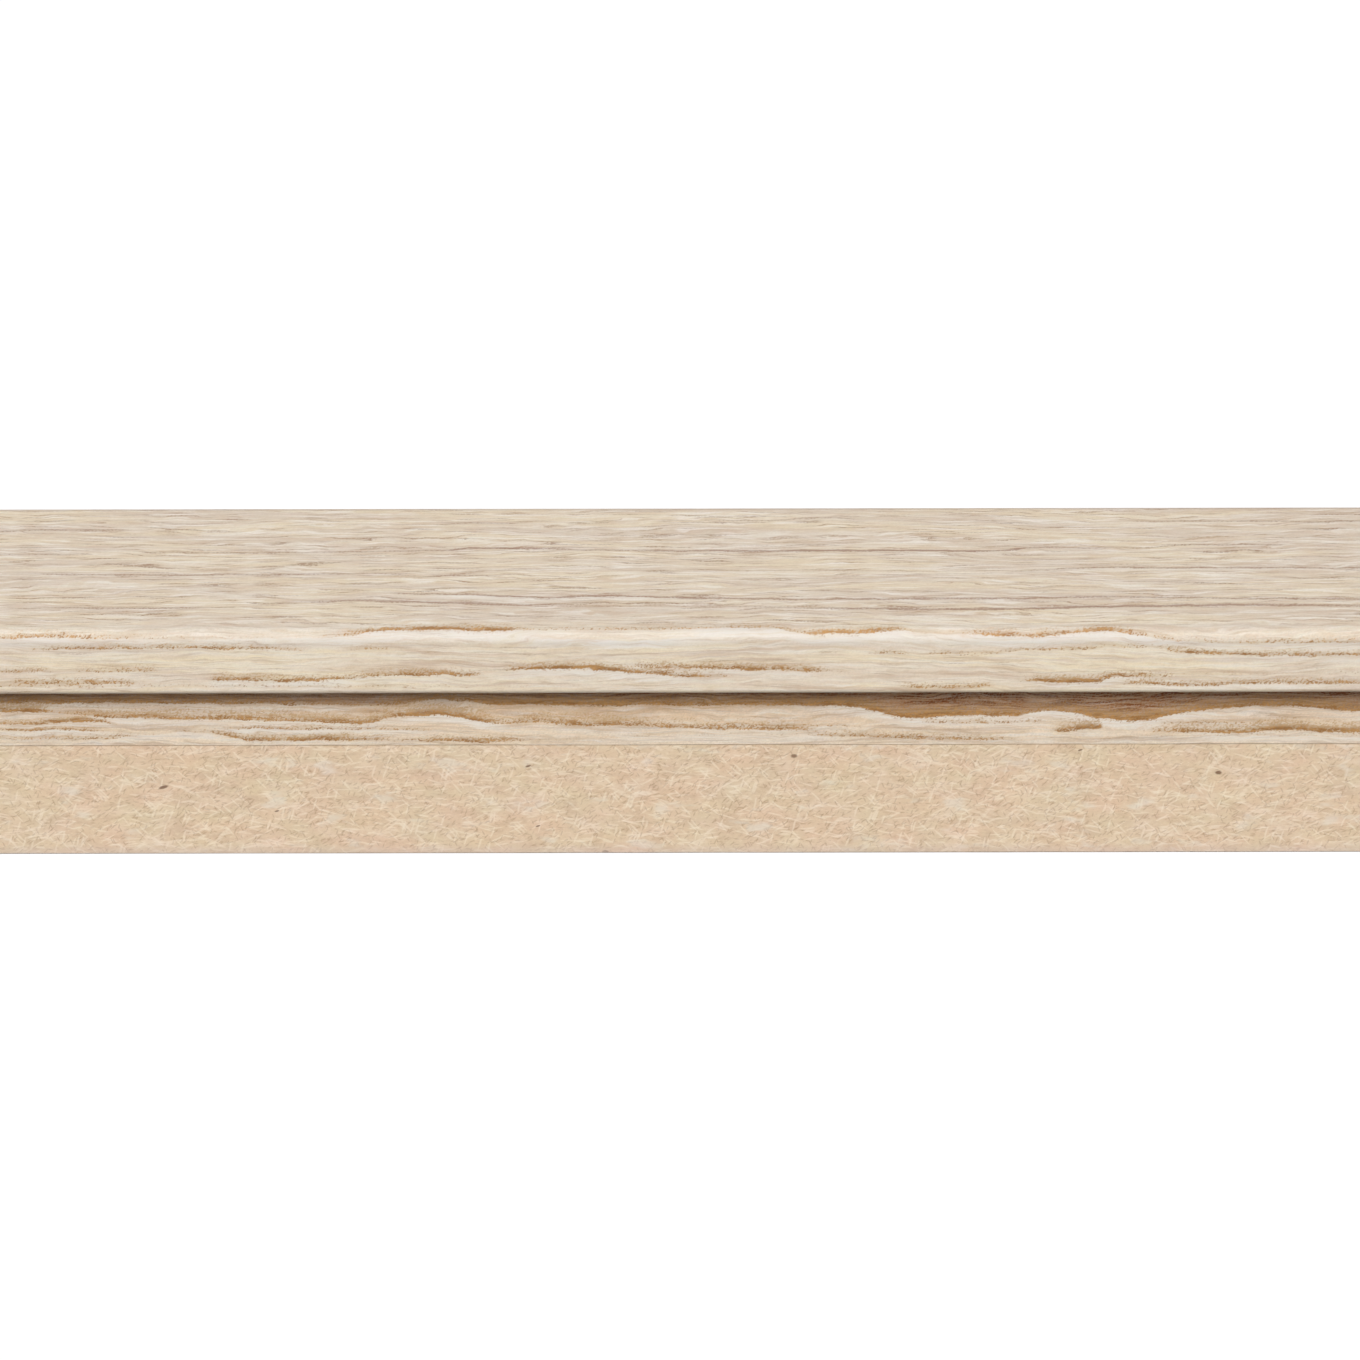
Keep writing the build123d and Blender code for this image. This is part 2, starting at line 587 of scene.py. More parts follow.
SHADED_RING = [
    (0, 703, 5, 4), (120, 703, 5, 5), (250, 704, 5, 4), (340, 705, 3, 2), (394, 705, 4, 0),
    (416, 701.6, 5, 2), (437, 699.4, 5, 3), (460, 701, 5, 2), (492, 704, 8, 1), (546, 705, 9, 1),
    (680, 705, 6, 1), (760, 705, 6, 2), (850, 706.5, 8, 6), (872, 709.5, 8, 10), (893, 716, 9, 10),
    (926, 717, 10, 10), (958, 715.4, 9, 8), (975, 715, 6, 7), (1000, 716, 8, 7), (1019, 716, 6, 8),
    (1036, 711.7, 4, 10), (1067, 711.7, 6, 10), (1090, 716, 8, 10), (1110, 719, 9, 10),
    (1151, 719.3, 9, 10), (1166, 715, 7.5, 9), (1190, 711.7, 6, 8), (1240, 707, 6, 6),
    (1300, 706, 7, 4), (1360, 711, 6, 4),
]
WALL_UPPER_RING = [
    (0, 712, 9, 4), (42, 712, 8, 4), (62, 713, 2, 2), (97, 717, 5, 5), (170, 719, 6, 6),
    (237, 720, 6, 6), (290, 721, 6, 6), (340, 723.3, 7, 7), (373, 723, 7, 6), (383, 719, 6, 4),
    (405, 716.8, 8, 7), (427, 715, 9, 10), (448, 715.3, 9, 10), (470, 718.6, 8, 10), (492, 723, 7, 8),
    (505, 724.4, 4, 5), (535, 722.3, 6, 2), (568, 724.4, 6, 3), (590, 725.5, 7, 3), (622, 725.5, 6, 3),
    (680, 728, 4, 3), (740, 730, 5, 4), (805, 731, 4, 4), (840, 733, 0, 2), (1040, 733, 0, 1),
    (1058, 732.3, 5, 1), (1078, 730, 8, 3), (1097, 729.4, 9, 4), (1104, 729, 0, 2), (1150, 732, 2, 1),
    (1190, 733, 6, 3), (1240, 734, 7, 4), (1285, 730, 9, 4), (1320, 732, 7, 4), (1360, 733, 8, 4),
]
WALL_MIDDLE_RING = [
    (0, 724, 6, 3), (40, 724, 5, 4), (62, 722.5, 8, 7), (102, 722, 6, 7), (122, 726, 1, 3),
    (190, 728, 0, 2), (250, 729, 3, 6), (330, 730, 3.5, 8), (380, 730, 3, 7), (440, 731, 1, 3),
    (480, 731, 0, 0), (900, 722, 0, 0), (930, 723, 2.5, 3), (980, 723, 3.5, 5), (1030, 722, 3, 5),
    (1060, 722, 0, 2), (1360, 722, 0, 0),
]
WALL_FINE_RING = [
    (0, 731, 3, 5), (20, 731, 5.5, 9), (77, 730.5, 5, 9), (105, 732, 1, 5), (150, 734, 0, 2),
    (640, 728, 0, 0), (700, 726, 2, 3), (800, 726, 3, 4), (860, 727, 1, 2), (900, 728, 0, 0),
    (1130, 726, 0, 0), (1180, 724, 2.5, 4), (1240, 723, 2.5, 4), (1290, 722, 0, 0),
]
WALL_LOWER_RING = [
    (0, 740, 2, 1), (105, 740, 3, 3), (150, 735, 1, 6), (200, 733, 2, 5), (250, 741, 6, 3),
    (340, 741, 6, 3), (400, 742, 2, 2), (450, 743, 6, 0), (507, 743, 5, 0), (540, 742, 1, 0),
    (680, 736, 1, 5), (795, 736, 1, 5), (874, 738, 5, 0), (930, 740, 4, 1), (980, 741, 4, 1),
    (1020, 741, 1, 1), (1200, 737, 1, 5), (1275, 737, 1, 6), (1360, 738, 1, 6),
]
FACE_BACK_LINE = [
    (0, 531, 0, 0), (8, 531, 5, 0), (60, 531, 6, 0), (112, 531, 5, 0), (125, 531, 0, 0),
    (430, 524, 0, 0), (450, 524, 4, 0), (498, 524, 4, 0), (520, 524, 0, 0), (690, 521, 0, 0),
    (720, 521, 4, 0), (782, 521, 4, 0), (808, 519, 5, 4), (848, 519, 5, 4), (870, 520, 0, 2),
    (1100, 522, 0, 3), (1165, 522, 4, 3), (1360, 522, 5, 3),
]
FACE_UPPER_LINE = [
    (0, 556, 4, 0), (61, 556, 4, 0), (75, 557, 0, 0), (163, 554, 4, 0), (250, 554, 5, 0),
    (340, 553, 4, 0), (416, 552, 5, 0), (444, 551, 6, 0), (470, 549.5, 10, 1), (524, 549.5, 9, 1),
    (578, 551, 5, 1), (680, 552, 7, 0), (800, 552, 9, 0), (900, 551.5, 10, 0), (1020, 551, 9, 0),
    (1035, 549, 5, 0), (1117, 549, 4, 0), (1150, 547, 1, 0), (1193, 546, 5, 0), (1288, 546, 4, 0),
    (1310, 546, 0, 0),
]
FACE_MIDDLE_LINE = [
    (0, 575, 0, 0), (59, 576, 5, 0), (214, 576, 5, 0), (340, 575, 5, 0), (401, 575, 4, 0),
    (415, 575, 0, 0), (442, 576.5, 5, 0), (490, 577, 5, 0), (505, 577, 0, 0), (600, 573, 1, 2),
    (705, 572, 2, 5), (859, 572, 2, 4), (1009, 572, 2, 5), (1107, 569, 6, 5), (1178, 569, 6, 5),
    (1360, 569, 6, 3),
]
FACE_LOWER_LINE = [
    (0, 596, 0, 0), (370, 594, 0, 0), (396, 594.5, 5, 2), (434, 595.3, 6, 4), (470, 596, 7, 8),
    (524, 598, 9, 8), (546, 599, 9, 5), (592, 597, 7, 5), (680, 598.7, 8, 3), (760, 600, 7, 2),
    (900, 600, 7, 2), (1020, 599.5, 7, 3), (1100, 598, 6, 2), (1200, 599, 6, 2), (1360, 600, 6, 2),
]
FACE_FRONT_LINE = [
    (0, 609, 0, 0), (75, 609, 4, 0), (180, 609, 5, 0), (210, 608, 1, 0), (340, 602, 6, 0),
    (400, 603, 7, 0), (470, 604.5, 8, 0), (508, 606, 6, 0), (560, 607, 3, 0), (680, 607, 3, 0),
    (897, 610, 7, 0), (1020, 610, 8, 0), (1094, 608, 10, 0), (1163, 607, 8, 0), (1265, 606, 8, 0),
    (1360, 607, 6, 0),
]

# Each line with its width, its pale band's and its glow's, in millimetres

PRINT_LINES = [
    (FRONT_ARRIS_RING, (0.55, 1.1, 1.2)),
    (ARRIS_RIBBON, (0.3, 0.9, 0.5)),
    (NOSING_UPPER_RING, (0.36, 0.8, 0.8)),
    (NOSING_MIDDLE_RING, (0.4, 0.9, 1.0)),
    (NOSING_LATE_RING, (0.44, 0.8, 1.0)),
    (NOSING_LOWEST_RING, (0.38, 0.6, 0.8)),
    (WALL_UPPER_RING, (0.56, 0.9, 1.7)),
    (WALL_MIDDLE_RING, (0.34, 0.6, 0.7)),
    (WALL_FINE_RING, (0.3, 0.6, 0.5)),
    (WALL_LOWER_RING, (0.5, 0.8, 1.0)),
]
FACE_LINES = [
    (FACE_BACK_LINE, (0.34, 0.5, 0.8)),
    (FACE_UPPER_LINE, (0.32, 0.6, 0.9)),
    (FACE_MIDDLE_LINE, (0.32, 0.6, 0.9)),
    (FACE_LOWER_LINE, (0.36, 0.8, 0.9)),
    (FACE_FRONT_LINE, (0.45, 0.6, 1.4)),
]
SHADED_RING_WIDTHS = (0.6, 1.1, 1.4)
# The band over the shaded ring is partly the print's late wood and partly painted shade under the nosing
LATEWOOD_AND_SHADE_REACH = (-0.1, 0.2, 2.4, 5.8)  # above the shaded ring: seen, full, fading, gone
LINE_EDGE = 0.04  # half the soft lower border of a line
REACH_MARGIN = 1.02

# The foil laid flat, in millimetres from its cut edge

SHEET_OUTLINE = wrapped_outline(0.0, 0.0)
SHEET_DISTANCES = distances(SHEET_OUTLINE)
SHEET_WIDTH = SHEET_DISTANCES[-1]
STRETCH = 124.0  # length of foil that the pinned lines cover
PINNED_END = (0.5 * STRETCH - 1.7, 0.5 * STRETCH - 0.1)  # where they fade out, from its middle
HOLD = 30  # how far past its first and last points a line stays level, in photo pixels
WALL_END = (9.4, 7.8)  # these three are the soft borders of the print's zones
ARRIS_ZONE = (13.9, 14.9, 15.9, 17.0)
FACE_START = (15.6, 17.6)
POINTS_BEFORE_ARCS = 2
OUTER_ARRIS_START = SHEET_DISTANCES[POINTS_BEFORE_ARCS + 3 * (ARC_STEPS + 1)]
OUTER_ARRIS_LINE = (-0.1, 0.15, 0.5, 0.9)  # a rubbed line from there: seen, full, fading, gone

# Ink and relief

INK_GRAIN_SIZE = (0.14, 0.11)
INK_GRAIN_TURN = 28.0
GRIT_RANGE = (0.31, 0.69)
LINE_NOISE_STEP = 7.37  # keeps the breaks of one grain line apart from the next line's
FOIL_RELIEF = 0.02 * MM
CUT_RELIEF = 0.01 * MM
BOARD_RELIEF = 0.008 * MM
# A painted shadow under the foil's cut edge, which stands proud of the wall
EDGE_SHADOW_BAND = (0.22 * MM, 0.04 * MM)  # from here below the foil's edge to its full shade
# Greyer and pinker within about a millimetre of the back face
BACK_EDGE_TINT = (1.2 * MM, 0.1 * MM)


def in_view(place):
    """The photo's pixel row where a (y, z) point of the section shows, and how far off it is."""
    tilt = math.radians(CAMERA_ELEVATION)
    back = place.x - NOSING_SIDE_Y
    rise = place.y - VIEW_CENTRE_Z
    away = CAMERA_DISTANCE + back * math.cos(tilt) - rise * math.sin(tilt)
    up = back * math.sin(tilt) + rise * math.cos(tilt)
    return PHOTO_PIXELS / 2 - FOCAL_PIXELS * up / away, away


SEEN_OUTLINE = [in_view(place) for place, _ in SHEET_OUTLINE]


def level_row(pixel_x, pixel_y):
    """The photo's row of a pixel, with the camera's roll taken out."""
    return pixel_y + (pixel_x - PHOTO_PIXELS / 2) * math.tan(math.radians(CAMERA_ROLL))


def sheet_place(pixel_x, pixel_y):
    """Where on the foil a pixel of the photo lies, in millimetres along and around."""
    row = level_row(pixel_x, pixel_y)
    for index in reversed(range(len(SEEN_OUTLINE) - 1)):
        low, away = SEEN_OUTLINE[index]
        high, _ = SEEN_OUTLINE[index + 1]
        if high <= row <= low:
            share = (low - row) / (low - high)
            step = SHEET_DISTANCES[index + 1] - SHEET_DISTANCES[index]
            along = (pixel_x - PHOTO_PIXELS / 2) * away / FOCAL_PIXELS / MM
            return along, SHEET_DISTANCES[index] + share * step
    return (pixel_x - PHOTO_PIXELS / 2) * CAMERA_DISTANCE / FOCAL_PIXELS / MM, 0.0


def profile(reach, line, pale, glow):
    """Stops across a print line: red the line, green the pale band under it, blue the glow over it.

    The widths and the reach to either side are in millimetres.
    """
    stops = [
        (-pale, 0.0, 0.0, 0.0),
        (-0.8 * pale, 0.0, 0.55, 0.0),
        (-0.4 * pale, 0.0, 0.85, 0.0),
        (-LINE_EDGE, 0.2, 1.0, 0.2),
        (LINE_EDGE, 1.0, 0.0, 1.0),
        (0.5 * line, 0.8, 0.0, 1.0),
        (line, 0.0, 0.0, 0.8),
        (glow, 0.0, 0.0, 0.0),
    ]
    return [(0.5 + 0.5 * distance / reach, *layers) for distance, *layers in stops]


class PrintLine:
    """One line of the print, pinned to its place in the photographed stretch.

    Its layers are red for the line, green for the pale band under it and blue for the glow.
    """

    def __init__(self, graph, along_share, around, points, widths):
        node = graph.fill(graph.node("RGBCurve"), Color=along_share)
        before, *_, after = points
        held = [(before[0] - HOLD, *before[1:]), *points, (after[0] + HOLD, *after[1:])]
        for channel, curve in zip(range(3), node.mapping.curves):
            while len(curve.points) < len(held):
                curve.points.new(0.5, 0.5)
            for knot, (x, y, line, pale) in zip(curve.points, held):
                along, position = sheet_place(x, y)
                value = (position / SHEET_WIDTH, line / 10, pale / 10)[channel]
                knot.location = (0.5 + along / STRETCH, value)
        node.mapping.update()
        position, self.line, pale = graph.parts(node.outputs["Color"])
        self.above = graph.sum(position, -SHEET_WIDTH, around)
        reach = REACH_MARGIN * max(widths)
        shades = graph.ramp(graph.sum(self.above, 0.5 / reach, 0.5), profile(reach, *widths))
        self.layers = graph.vector("MULTIPLY", shades, graph.place(self.line, pale, self.line))


def joined(graph, lines, along_share, around):
    """Several print lines laid over each other, the strongest of them at each point."""
    total = None
    for points, widths in lines:
        layers = PrintLine(graph, along_share, around, points, widths).layers
        total = layers if total is None else graph.vector("MAXIMUM", total, layers)
    return total


def dissolved(graph, strength, grit):
    """Grains of ink: more of them show where the strength is greater, and none at zero."""
    level = graph.sum(strength, 0.5, grit)
    return graph.product(graph.span(level, 0.62, 0.88), graph.span(strength, 0.0, 0.15))


def strokes(graph, place, size, angle, shift, share):
    """Short strokes with clear edges, of a (length, width) in millimetres: 1 inside a stroke."""
    distance, chance = graph.cells(graph.turned(place, angle, *size, shift))
    return graph.product(graph.span(distance, 0.48, 0.28), graph.span(chance, 1.0 - share, 1.02 - share))


def figure(graph, sheet, around, stops, drift, shift, spacing, turns, run):
    """Grain lines that follow the contours of a slow drift, each broken along its length.

    The drift's pitch, the spacing of the lines and the length of a run are in millimetres.
    """
    level = graph.noise(graph.scaled(sheet, *drift, shift), roughness=0.45)
    turn = graph.sum(level, turns, graph.product(around, 1 / spacing))
    line_row = graph.product(graph.math("FLOOR", turn), LINE_NOISE_STEP)
    seed = graph.place(graph.product(graph.parts(sheet)[0], 1 / run), line_row)
    strength = graph.span(graph.noise(seed), 0.42, 0.64)
    shades = graph.ramp(graph.math("FRACT", turn), stops)
    return graph.vector("MULTIPLY", shades, graph.repeated(strength))


# Stops across one turn of a figure, with the layers of a print line: from each line's lower
# edge upwards through its glow, then the pale band under the next line

RING_STOPS = [
    (0.0, 1.0, 0.0, 1.0),
    (0.08, 0.9, 0.0, 0.95),
    (0.15, 0.0, 0.0, 0.7),
    (0.42, 0.0, 0.0, 0.0),
    (0.6, 0.0, 0.1, 0.0),
    (0.84, 0.0, 0.8, 0.0),
    (0.985, 0.0, 1.0, 0.0),
    (1.0, 1.0, 0.0, 1.0),
]
FINE_STOPS = [
    (0.0, 1.0, 0.0, 0.0),
    (0.08, 0.8, 0.0, 0.0),
    (0.16, 0.0, 0.0, 0.0),
    (0.66, 0.0, 0.0, 0.0),
    (0.9, 0.0, 1.0, 0.0),
    (0.99, 0.0, 0.6, 0.0),
    (1.0, 1.0, 0.0, 0.0),
]


class OakGrain:
    """Places and noises that the layers of the oak print share."""

    def __init__(self, graph):
        self.sheet = graph.sheet()
        self.along, self.around, _ = graph.parts(self.sheet)
        self.drift = graph.noise(graph.scaled(self.sheet, 34.0, 7.0, (3.1, 8.2)))
        ripple = graph.noise(graph.scaled(self.sheet, 8.0, 2.4, (1.7, 4.4)))
        waver = graph.noise(graph.scaled(self.sheet, 2.6, 0.9, (6.4, 2.2)))
        shifted = graph.sum(waver, 0.5, graph.sum(ripple, 0.9, graph.sum(self.drift, 3.0, self.around)))
        self.wavy = graph.place(self.along, shifted)
        self.broad = self.noise(graph, (15.0, 0.7), (0.0, 3.0), 4.0, 0.62)
        self.streaks = self.noise(graph, (5.0, 0.17), (4.0, 9.0), 4.0, 0.68)
        self.patches = self.noise(graph, (24.0, 2.0), (2.0, 6.0), 3.0, 0.5)
        self.mottle = self.noise(graph, (1.6, 0.5), (5.0, 7.0), 3.0, 0.6)
        self.ribbons = self.noise(graph, (13.0, 0.8), (7.0, 5.0), 3.0, 0.5)
        self.tints = self.noise(graph, (2.4, 0.36), (0.0, 0.0), 3.0, 0.7, output="Color")
        _, grains = graph.cells(graph.turned(self.sheet, INK_GRAIN_TURN, *INK_GRAIN_SIZE))
        self.grit = graph.span(grains, 0.0, 1.0, *GRIT_RANGE, steps="LINEAR")
        self.on_face = graph.span(self.around, *FACE_START)
        self.on_wall = graph.span(self.around, *WALL_END)
        self.on_arris = graph.window(self.around, *ARRIS_ZONE)
        frayed = graph.sum(self.streaks, 0.3, graph.math("ADD", self.around, -0.42))
        self.frayed = graph.sum(self.grit, 0.14, graph.sum(waver, 0.4, frayed))
        self.elsewhere = graph.span(graph.math("ABSOLUTE", self.along), *PINNED_END)

    def noise(self, graph, pitch, shift, detail, roughness, output="Fac"):
        """A noise that bends with the grain, its pitch along and around in millimetres."""
        return graph.noise(graph.scaled(self.wavy, *pitch, shift), detail, roughness, output)


def photographed_lines(graph, grain):
    """The pinned rings, the lines on the show face and the dark band under the nosing: late wood in the
    print, with painted shade that browns and darkens it there.
    """
    share = graph.math("MULTIPLY_ADD", grain.along, 1 / STRETCH, 0.5, clamp=True)
    along_share = graph.repeated(share)
    inside = graph.repeated(graph.math("SUBTRACT", 1.0, grain.elsewhere))
    off_course = graph.product(graph.math("SUBTRACT", grain.drift, 0.5), grain.elsewhere, 5.0)
    around = graph.math("ADD", grain.frayed, off_course)
    shaded = PrintLine(graph, along_share, around, SHADED_RING, SHADED_RING_WIDTHS)
    rings = joined(graph, PRINT_LINES, along_share, grain.frayed)
    rings = graph.vector("MULTIPLY", graph.vector("MAXIMUM", rings, shaded.layers), inside)
    face = graph.vector("MULTIPLY", joined(graph, FACE_LINES, along_share, grain.frayed), inside)
    brown = graph.window(shaded.above, *LATEWOOD_AND_SHADE_REACH)
    return rings, face, graph.product(brown, graph.span(shaded.line, 0.2, 0.7, 0.72, 1.0))


def free_rings(graph, grain):
    """Rings of the same kind for the rest of the length."""
    rings = figure(graph, grain.sheet, grain.frayed, RING_STOPS, drift=(30.0, 3.4), shift=(41.0, 17.0),
                   spacing=2.6, turns=1.8, run=24.0)
    flame = graph.noise(graph.scaled(grain.sheet, 140.0, 11.0, (7.0, 3.0)))
    flame = graph.product(graph.span(flame, 0.38, 0.6, 0.25, 1.0), grain.elsewhere)
    return graph.vector("MULTIPLY", rings, graph.repeated(flame))


def paint_ground(graph, grain):
    """Cream to pink, browner up the rebate wall, partly as print and partly as painted shade under the
    nosing, with broad and fine streaks.
    """
    hue = graph.span(grain.patches, 0.36, 0.62)
    # The sides and wall are painted a little lighter and the show face a little darker than the print
    # alone: painted light and shade that even out how the lamps light them
    sides = graph.blend(hue, rgb(234, 218, 189), rgb(225, 208, 187))
    wall = graph.blend(hue, rgb(216, 184, 149), rgb(203, 173, 142))
    # Painted shade: the wall is lighter towards the cut edge and darker up towards the nosing
    wall = graph.blend(graph.span(grain.around, 4.6, 0.6), wall, rgb(237, 218, 193))
    face = graph.blend(hue, rgb(219, 203, 178), rgb(210, 194, 176))
    light = graph.blend(grain.on_wall, rgb(237, 228, 211), rgb(230, 210, 184))
    dark = graph.blend(grain.on_wall, rgb(197, 172, 150), rgb(184, 152, 120))
    ribbons = graph.blend(graph.span(grain.ribbons, 0.52, 0.34), light, dark)
    ribbon_share = graph.math("ABSOLUTE", graph.span(grain.ribbons, 0.3, 0.7, -1.1, 1.1, steps="LINEAR"))
    graph.colour = graph.blend(grain.on_wall, sides, wall)
    graph.paint(ribbons, ribbon_share, 0.5)
    graph.paint(face, grain.on_face)
    # Painted shade: the rounded arris is darkened to take back the extra light that the lamps give it
    graph.paint(rgb(203, 193, 179), grain.on_arris, 0.6)
    graph.paint(rgb(199, 174, 150), graph.span(grain.broad, 0.48, 0.28, 0.0, 0.5))
    graph.paint(rgb(231, 223, 211), graph.span(grain.broad, 0.52, 0.72, 0.0, 0.45))
    dark_share = graph.between(grain.on_face, 0.12, 0.24)
    graph.paint(rgb(180, 154, 128), graph.span(grain.streaks, 0.46, 0.34), dark_share)
    graph.paint(rgb(230, 222, 211), graph.span(grain.streaks, 0.54, 0.66, 0.0, 0.36))
    graph.paint(rgb(206, 182, 154), graph.span(grain.mottle, 0.5, 0.7, 0.0, 0.3))


def paint_fine_grain(graph, grain):
    """Thin lines and short pores, most of them on the show face."""
    wobbly = graph.sum(grain.streaks, 0.12, grain.frayed)
    fine = figure(graph, grain.sheet, wobbly, FINE_STOPS, drift=(30.0, 2.6), shift=(12.0, 31.0),
                  spacing=1.1, turns=3.0, run=6.0)
    line, pale, _ = graph.parts(fine)
    share = graph.between(grain.on_face, graph.between(grain.on_wall, 0.38, 0.5), 0.8)
    graph.paint(rgb(232, 224, 213), pale, share, 0.7)
    for index, angle in enumerate((0.4, -1.2, 1.6)):
        spot = (3.0 + 11.0 * index, 7.0 * index)
        light = strokes(graph, grain.wavy, (3.6 + index, 0.24), angle, spot, 0.12)
        graph.paint(rgb(235, 228, 219), light, share, 0.6)
        dark = strokes(graph, grain.wavy, (3.0 + 1.2 * index, 0.17), -angle, spot[::-1], 0.1)
        graph.paint(rgb(164, 133, 107), dark, share, graph.span(grain.grit, 0.38, 0.56, 0.3, 0.8))
    line = graph.product(line, share, graph.span(grain.grit, 0.36, 0.56, 0.4, 1.0))
    graph.paint(rgb(142, 108, 82), line)
    return line


def paint_latewood_and_shade(graph, grain, latewood_and_shade):
    """Dark brown in streaks and grains under the nosing: the print's late wood, with painted shade that
    browns and darkens the nosing's shadow.
    """
    grains = graph.span(grain.grit, 0.36, 0.62, 0.68, 1.05)
    latewood_and_shade = graph.product(latewood_and_shade, grains, graph.span(grain.streaks, 0.38, 0.6, 1.05, 0.68))
    brown = graph.blend(graph.span(grain.streaks, 0.4, 0.6), rgb(112, 62, 24), rgb(152, 100, 52))
    graph.paint(brown, latewood_and_shade)
    return latewood_and_shade


def paint_rings(graph, grain, rings):
    """The pale band, the warm glow and the ochre line of each ring, the last two partly in grains."""
    line, pale, glow = graph.parts(rings)
    # The pale band is painted darker on the arris, as painted shade against the lamps' extra light there
    tone = graph.blend(grain.on_arris, rgb(234, 228, 219), rgb(217, 211, 204))
    graph.paint(tone, pale, graph.span(grain.streaks, 0.38, 0.55, 0.42, 0.95))
    uneven = graph.span(grain.mottle, 0.36, 0.6, 0.8, 1.15)
    wall_share = graph.between(grain.on_wall, 0.8, 1.0)
    arris_share = graph.between(grain.on_arris, 1.0, 0.6)
    glow = graph.product(glow, uneven, wall_share, arris_share)
    graph.paint(rgb(210, 180, 138), glow, 0.26)
    graph.paint(rgb(172, 136, 92), dissolved(graph, glow, grain.grit), 0.7)
    line = graph.product(line, uneven)
    tint = graph.span(graph.parts(grain.tints)[0], 0.4, 0.6)
    ochre = graph.blend(tint, rgb(142, 98, 52), rgb(176, 132, 80))
    graph.paint(rgb(176, 138, 94), line, 0.62)
    graph.paint(ochre, dissolved(graph, line, grain.grit), 0.8)


def paint_face_lines(graph, grain, face):
    """The straighter and greyer lines of the show face, with less glow and ink."""
    line, pale, glow = graph.parts(face)
    graph.paint(rgb(231, 224, 214), pale, 0.75)
    graph.paint(rgb(186, 154, 130), dissolved(graph, graph.product(glow, 0.5), grain.grit), 0.35)
    graph.paint(rgb(156, 124, 104), line, 0.72)
    graph.paint(rgb(134, 100, 80), dissolved(graph, line, grain.grit), 0.4)


def paint_tints(graph, tints, spread):
    """Shift the colour a little, by a noise that differs for red, green and blue."""
    middle = 1.0 - 0.5 * spread
    tints = graph.vector("MULTIPLY_ADD", tints, (spread,) * 3, (middle,) * 3)
    graph.paint(tints, 1.0, mode="MULTIPLY")


def oak_decor_foil():
    """Pale oak print: wavy rings with an ochre line over a pale band, and fine straight pores."""
    graph = Graph(bpy.data.materials.new("oak_decor_foil"))
    grain = OakGrain(graph)
    rings, face, latewood_and_shade = photographed_lines(graph, grain)
    rings = graph.vector("MAXIMUM", rings, free_rings(graph, grain))
    paint_ground(graph, grain)
    fine_line = paint_fine_grain(graph, grain)
    # Late-wood print and painted shade under the nosing
    latewood_and_shade = paint_latewood_and_shade(graph, grain, latewood_and_shade)
    paint_face_lines(graph, grain, face)
    paint_rings(graph, grain, rings)
    rub = [OUTER_ARRIS_START + offset for offset in OUTER_ARRIS_LINE]
    graph.paint(rgb(176, 156, 140), graph.window(grain.around, *rub), 0.45)
    paint_tints(graph, grain.tints, spread=0.05)
    inked = graph.math("MAXIMUM", graph.parts(rings)[2], latewood_and_shade)
    plain = graph.span(graph.parts(rings)[1], 0.2, 0.7, 1.0, 0.45)
    depth = graph.sum(inked, 0.13, graph.between(grain.on_wall, 0.035, 0.065))
    swing = graph.span(grain.grit, *GRIT_RANGE, -1.0, 1.0, steps="LINEAR")
    speckle = graph.sum(swing, graph.product(depth, plain), 1.0)
    graph.paint(graph.repeated(speckle), 1.0, mode="MULTIPLY")
    height = graph.sum(fine_line, -0.3, graph.sum(grain.grit, 0.3, grain.streaks))
    roughness = graph.span(grain.streaks, 0.3, 0.7, 0.62, 0.48, steps="LINEAR")
    return graph.surface(height, FOIL_RELIEF, roughness, specular=0.25)


def foil_cut():
    """The foil's own body, which shows at its cut edges and ends."""
    graph = Graph(bpy.data.materials.new("foil_cut"))
    mottle = graph.noise(graph.scaled(graph.sheet(), 0.8, 0.3))
    graph.colour = graph.blend(graph.span(mottle, 0.3, 0.7), rgb(186, 164, 138), rgb(205, 187, 163))
    return graph.surface(mottle, CUT_RELIEF, graph.span(mottle, 0.3, 0.7, 0.5, 0.62), specular=0.35)


# Dark specks in the photographed fibreboard, as (x, y, length) in photo pixels

BOARD_SPECKS = [(166, 787, 10), (278, 811, 5), (529, 766, 6), (538, 826, 5), (1077, 750, 5)]
SPECK_THINNESS = 2.4  # length over width
SPECK_SLOPE = 0.28
FIBRE_TURNS = (4.0, -17.0, 31.0, -48.0, 74.0, 10.0, -8.0)
BUNDLE_TURNS = (9.0, -27.0, 52.0)


def board_place(pixel_x, pixel_y):
    """Where on the bare wall a pixel of the photo lies, as (x, z) in metres."""
    low, away = in_view(Vector((BARE_WALL_Y, 0.0)))
    high, _ = in_view(Vector((BARE_WALL_Y, FOIL_EDGE_Z)))
    x = (pixel_x - PHOTO_PIXELS / 2) * away / FOCAL_PIXELS
    return x, FOIL_EDGE_Z * (low - level_row(pixel_x, pixel_y)) / (low - high)


def seen_specks(graph, x, z):
    """The specks of the photographed stretch: 1 inside a speck."""
    total = 0.0
    for pixel_x, pixel_y, length in BOARD_SPECKS:
        speck_x, speck_z = board_place(pixel_x, pixel_y)
        half = 0.5 * length * CAMERA_DISTANCE / FOCAL_PIXELS
        across = graph.product(graph.math("SUBTRACT", x, speck_x), 1 / half)
        up = graph.product(graph.math("SUBTRACT", z, speck_z), SPECK_THINNESS / half)
        up = graph.sum(across, -SPECK_SLOPE * SPECK_THINNESS, up)
        speck = graph.span(graph.vector("LENGTH", graph.place(across, up)), 1.2, 0.6)
        total = graph.math("MAXIMUM", total, speck)
    return total


